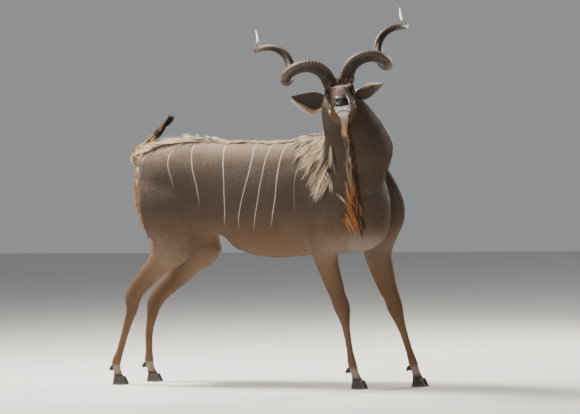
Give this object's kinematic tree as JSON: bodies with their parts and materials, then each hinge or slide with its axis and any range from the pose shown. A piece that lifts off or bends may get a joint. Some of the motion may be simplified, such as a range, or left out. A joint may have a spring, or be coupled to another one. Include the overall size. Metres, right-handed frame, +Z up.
{
  "type": "greater kudu bull, still display model",
  "caption": "Life-size standing greater kudu bull with spiral horns, mane, throat fringe and curled tail, head turned to its right.",
  "frame": {"origin": "on the floor, under the middle of the whole animal's box", "axes": "+X to the front along the pelvis, +Y to the animal's left, +Z up"},
  "size_m": [1.9142, 1.0446, 2.0745],
  "materials": {
    "coat": "short grey-brown fur",
    "hair": "long coarse hair",
    "horn": "ribbed dark horn, worn smoother at the tips",
    "hoof": "dull dark hoof horn",
    "eye": "wet dark eye"
  },
  "bodies": {
    "root": {"head": "coat", "neck": "coat", "torso": "coat", "tail": "hair", "leg_hind_right": "coat", "leg_hind_left": "coat", "leg_front_right": "coat", "leg_front_left": "coat", "horn_left": "horn", "eye_left": "eye", "ear_left": "coat", "horn_right": "horn", "eye_right": "eye", "ear_right": "coat", "toe_hind_right_left": "hoof", "dewclaw_hind_right_left": "hoof", "toe_hind_right_right": "hoof", "dewclaw_hind_right_right": "hoof", "toe_hind_left_left": "hoof", "dewclaw_hind_left_left": "hoof", "toe_hind_left_right": "hoof", "dewclaw_hind_left_right": "hoof", "toe_front_right_left": "hoof", "dewclaw_front_right_left": "hoof", "toe_front_right_right": "hoof", "dewclaw_front_right_right": "hoof", "toe_front_left_left": "hoof", "dewclaw_front_left_left": "hoof", "toe_front_left_right": "hoof", "dewclaw_front_left_right": "hoof"}
  },
  "joints": []
}
